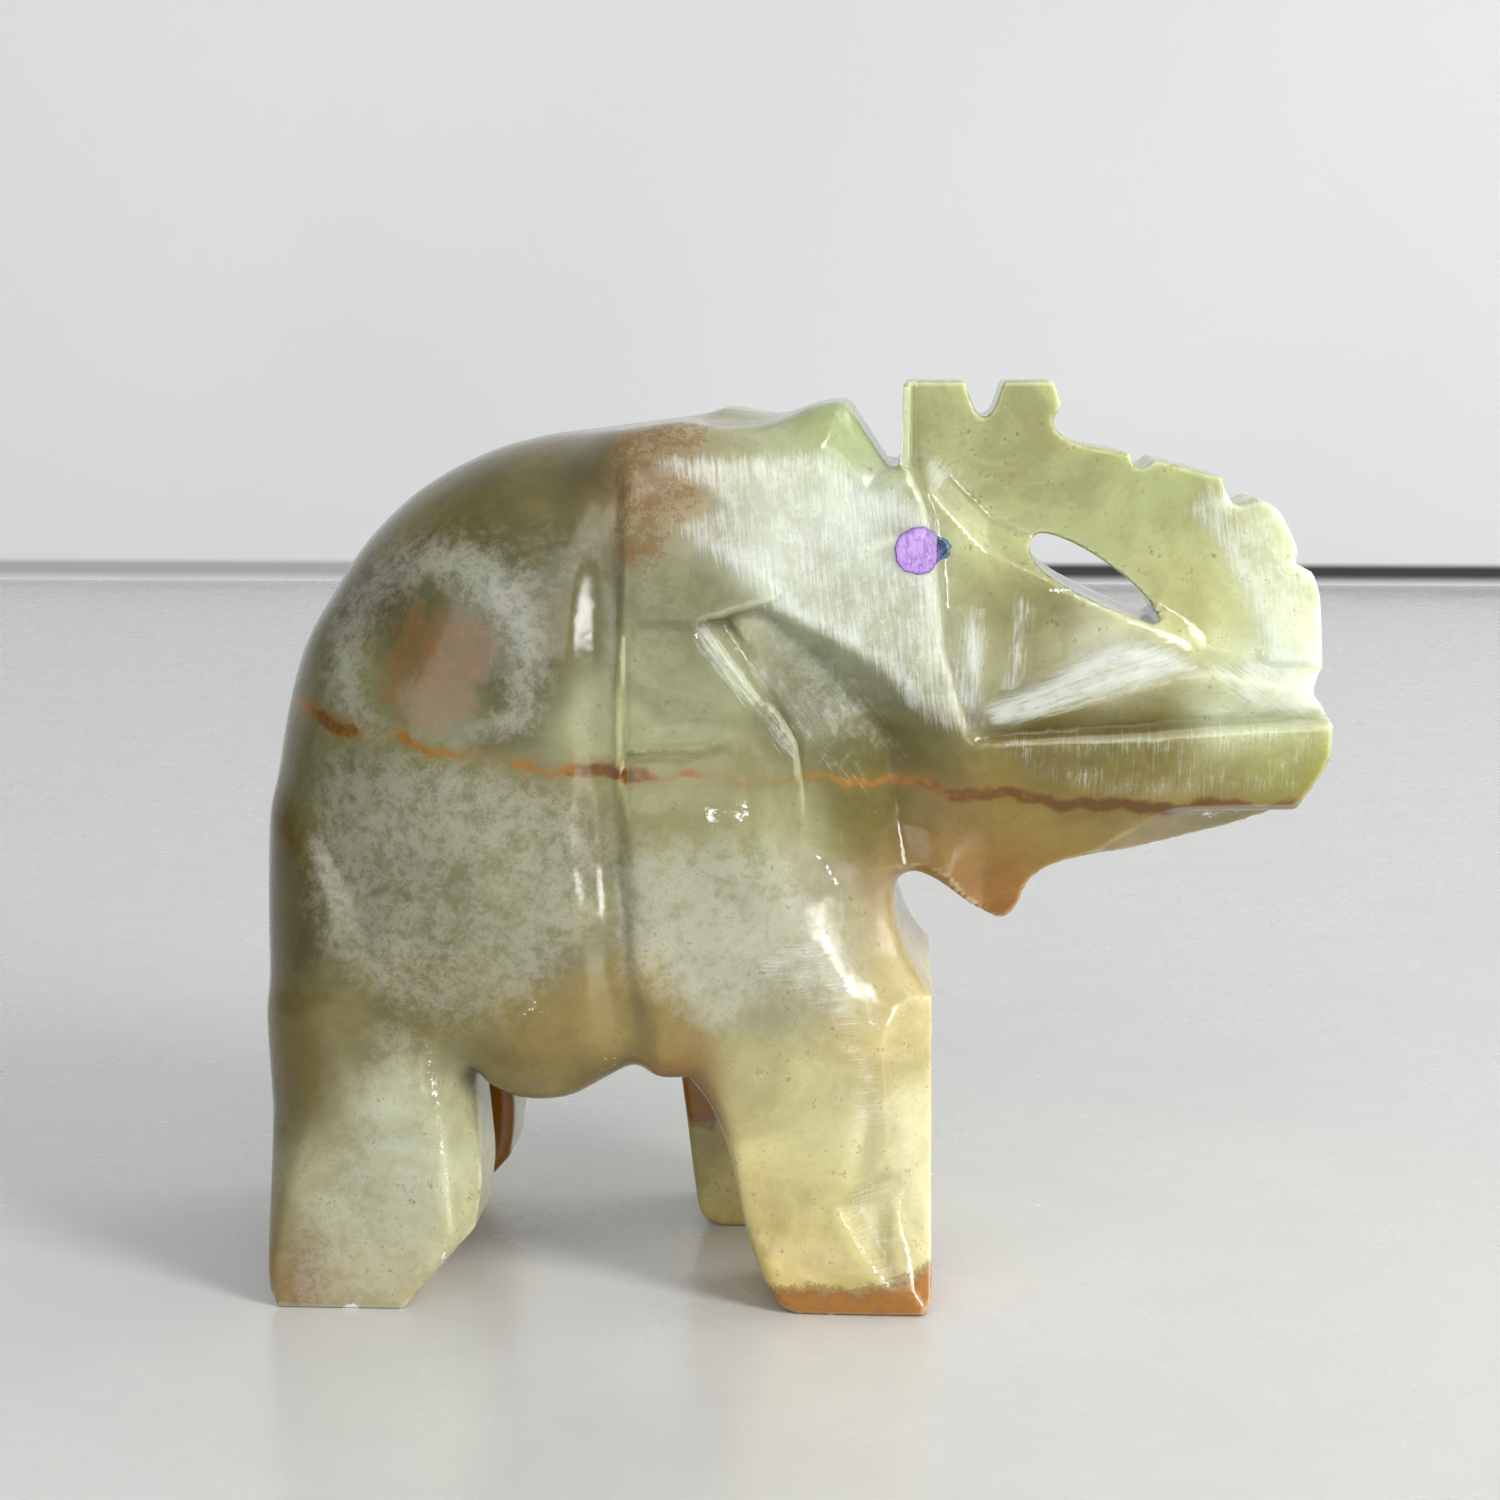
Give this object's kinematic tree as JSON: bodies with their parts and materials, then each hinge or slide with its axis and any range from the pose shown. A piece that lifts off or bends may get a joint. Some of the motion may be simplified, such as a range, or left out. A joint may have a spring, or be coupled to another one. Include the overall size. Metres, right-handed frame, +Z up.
{
  "type": "carved stone elephant figurine",
  "caption": "Standing elephant carved from one block of banded green stone, trunk raised and curled back to its forehead, walking legs, lobed ears, ink dot eyes.",
  "frame": {"origin": "on the table, under the middle of the bounding box", "axes": "+X towards the raised trunk and tusk tips, +Y to the animal's left, +Z up"},
  "size_m": [0.0752, 0.0346, 0.0636],
  "materials": {
    "banded_green_stone": "polished translucent onyx with white crystal cloud, rust vein and frosted ground facets",
    "violet_ink": "dried marker ink, satin"
  },
  "bodies": {
    "root": {"carved_elephant": "banded_green_stone", "right_eye_ink": "violet_ink", "left_eye_ink": "violet_ink"}
  },
  "joints": []
}
